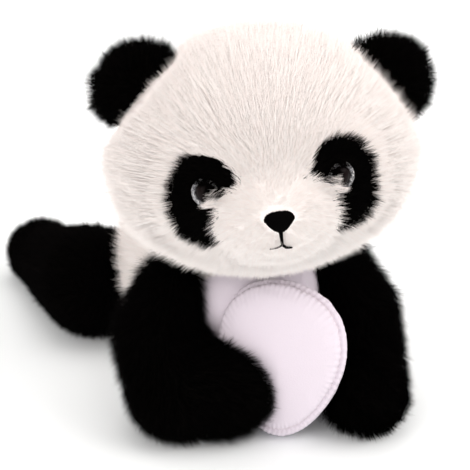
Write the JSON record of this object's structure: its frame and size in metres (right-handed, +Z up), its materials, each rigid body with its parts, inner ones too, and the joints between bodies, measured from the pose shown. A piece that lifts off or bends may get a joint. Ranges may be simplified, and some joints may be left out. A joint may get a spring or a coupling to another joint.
{
  "type": "plush panda",
  "caption": "Long-pile plush panda lying propped on its front paws, with a round stuffed pad held between them; head, ears and limbs bend at their seams.",
  "frame": {"origin": "middle of the footprint's bounding box, on the surface the panda lies on", "axes": "+Z up, the face looks towards -Y, +X towards the panda's own left"},
  "size_m": [0.198, 0.3102, 0.2239],
  "materials": {
    "white_fur": "long matt pile, warm white",
    "black_fur": "long matt pile, black",
    "smooth_plush": "short smooth pile, pale lavender white",
    "filling": "loose polyester fibre",
    "black_thread": "satin stitch, slight sheen",
    "eye_plastic": "polished",
    "eye_glitter": "silver glitter under clear lacquer",
    "washer_plastic": "moulded"
  },
  "bodies": {
    "torso": {"torso_cover": "white_fur", "belly_panel": "smooth_plush", "torso_stuffing": "filling", "pad_front_panel": "smooth_plush", "pad_back_shell": "smooth_plush", "pad_stuffing": "filling"},
    "neck": {"neck_core": "white_fur"},
    "head": {"head_cover": "white_fur", "muzzle_panel": "white_fur", "head_stuffing": "filling", "nose_embroidery": "black_thread", "mouth_stitching": "black_thread", "eye_patch_right": "black_fur", "eye_dome_right": "eye_plastic", "eye_ring_right": "eye_glitter", "eye_washer_right": "washer_plastic", "eye_patch_left": "black_fur", "eye_dome_left": "eye_plastic", "eye_ring_left": "eye_glitter", "eye_washer_left": "washer_plastic"},
    "ear_right": {"ear_front_right": "black_fur", "ear_back_right": "black_fur"},
    "arm_right": {"arm_right_cover": "black_fur", "arm_right_stuffing": "filling"},
    "leg_right": {"leg_right_cover": "black_fur", "leg_right_stuffing": "filling"},
    "ear_left": {"ear_front_left": "black_fur", "ear_back_left": "black_fur"},
    "arm_left": {"arm_left_cover": "black_fur", "arm_left_stuffing": "filling"},
    "leg_left": {"leg_left_cover": "black_fur", "leg_left_stuffing": "filling"}
  },
  "joints": [
    {"name": "neck_turn", "type": "hinge", "parent": "torso", "child": "neck", "pos_m": [0, -0.05543, 0.097], "axis": [0, 0, 1], "range_deg": [-35, 35], "stiffness_Nm_per_rad": 1},
    {"name": "head_nod", "type": "hinge", "parent": "neck", "child": "head", "pos_m": [0, -0.05543, 0.097], "axis": [1, 0, 0], "range_deg": [-22, 5], "stiffness_Nm_per_rad": 1},
    {"name": "ear_fold_right", "type": "hinge", "parent": "head", "child": "ear_right", "pos_m": [-0.06026, -0.051, 0.19577], "axis": [0.4683, -0.1255, 0.8746], "range_deg": [-15, 15], "stiffness_Nm_per_rad": 0.3},
    {"name": "ear_fold_left", "type": "hinge", "parent": "head", "child": "ear_left", "pos_m": [0.06795, -0.08536, 0.19551], "axis": [-0.446, 0.1195, 0.887], "range_deg": [-15, 15], "stiffness_Nm_per_rad": 0.3},
    {"name": "arm_swing_right", "type": "hinge", "parent": "torso", "child": "arm_right", "pos_m": [-0.05, -0.06143, 0.08], "axis": [-0.6402, 0.7682, 0], "range_deg": [0, 65], "stiffness_Nm_per_rad": 0.8},
    {"name": "arm_swing_left", "type": "hinge", "parent": "torso", "child": "arm_left", "pos_m": [0.05, -0.06143, 0.08], "axis": [-0.1961, -0.9806, 0], "range_deg": [0, 50], "stiffness_Nm_per_rad": 0.8},
    {"name": "leg_lift_right", "type": "hinge", "parent": "torso", "child": "leg_right", "pos_m": [-0.063, 0.05557, 0.031], "axis": [1, 0, 0], "range_deg": [0, 45], "stiffness_Nm_per_rad": 0.8},
    {"name": "leg_lift_left", "type": "hinge", "parent": "torso", "child": "leg_left", "pos_m": [0.063, 0.05557, 0.031], "axis": [1, 0, 0], "range_deg": [0, 45], "stiffness_Nm_per_rad": 0.8}
  ]
}
